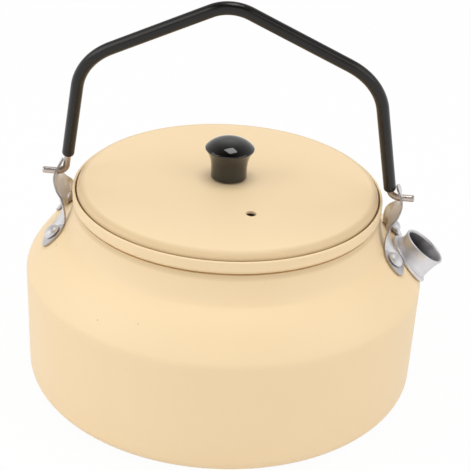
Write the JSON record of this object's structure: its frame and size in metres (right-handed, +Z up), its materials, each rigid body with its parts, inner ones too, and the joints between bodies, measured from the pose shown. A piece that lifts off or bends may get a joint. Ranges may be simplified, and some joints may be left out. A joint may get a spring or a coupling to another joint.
{
  "type": "camping kettle",
  "caption": "Low coated camping kettle with a recessed lid and black knob, a short flared spout and a folding wire bail in a soft sleeve.",
  "frame": {"origin": "centre of the flat base, on the pot's axis", "axes": "+Z up along the pot's axis, +X towards the spout, the bail's hinge line along X"},
  "size_m": [0.1572, 0.15, 0.1556],
  "materials": {
    "cream_coat": "smooth matt coating on aluminium",
    "satin_aluminium": "satin, lightly turned",
    "nickelled_wire": "bright drawn wire",
    "black_sleeve": "soft matt tube",
    "black_moulding": "polished moulding",
    "brass": "turned",
    "bright_steel": "bright"
  },
  "bodies": {
    "kettle": {"pot_body": "cream_coat", "spout": "satin_aluminium", "ear_left": "satin_aluminium", "ear_right": "satin_aluminium", "rivet_left_front": "satin_aluminium", "rivet_left_rear": "satin_aluminium", "rivet_right_front": "satin_aluminium", "rivet_right_rear": "satin_aluminium"},
    "lid": {"lid": "cream_coat", "lid_knob": "black_moulding", "knob_insert": "brass", "knob_screw": "bright_steel", "knob_washer": "bright_steel"},
    "bail": {"handle_wire": "nickelled_wire", "handle_sleeve": "black_sleeve"}
  },
  "joints": [
    {"name": "handle_swing", "type": "hinge", "parent": "kettle", "child": "bail", "pos_m": [0, 0, 0.0775], "axis": [1, 0, 0], "range_deg": [-107, 72]},
    {"name": "lid_lift", "type": "slide", "parent": "kettle", "child": "lid", "axis": [0, 0, 1], "range_m": [0, 0.008]}
  ]
}
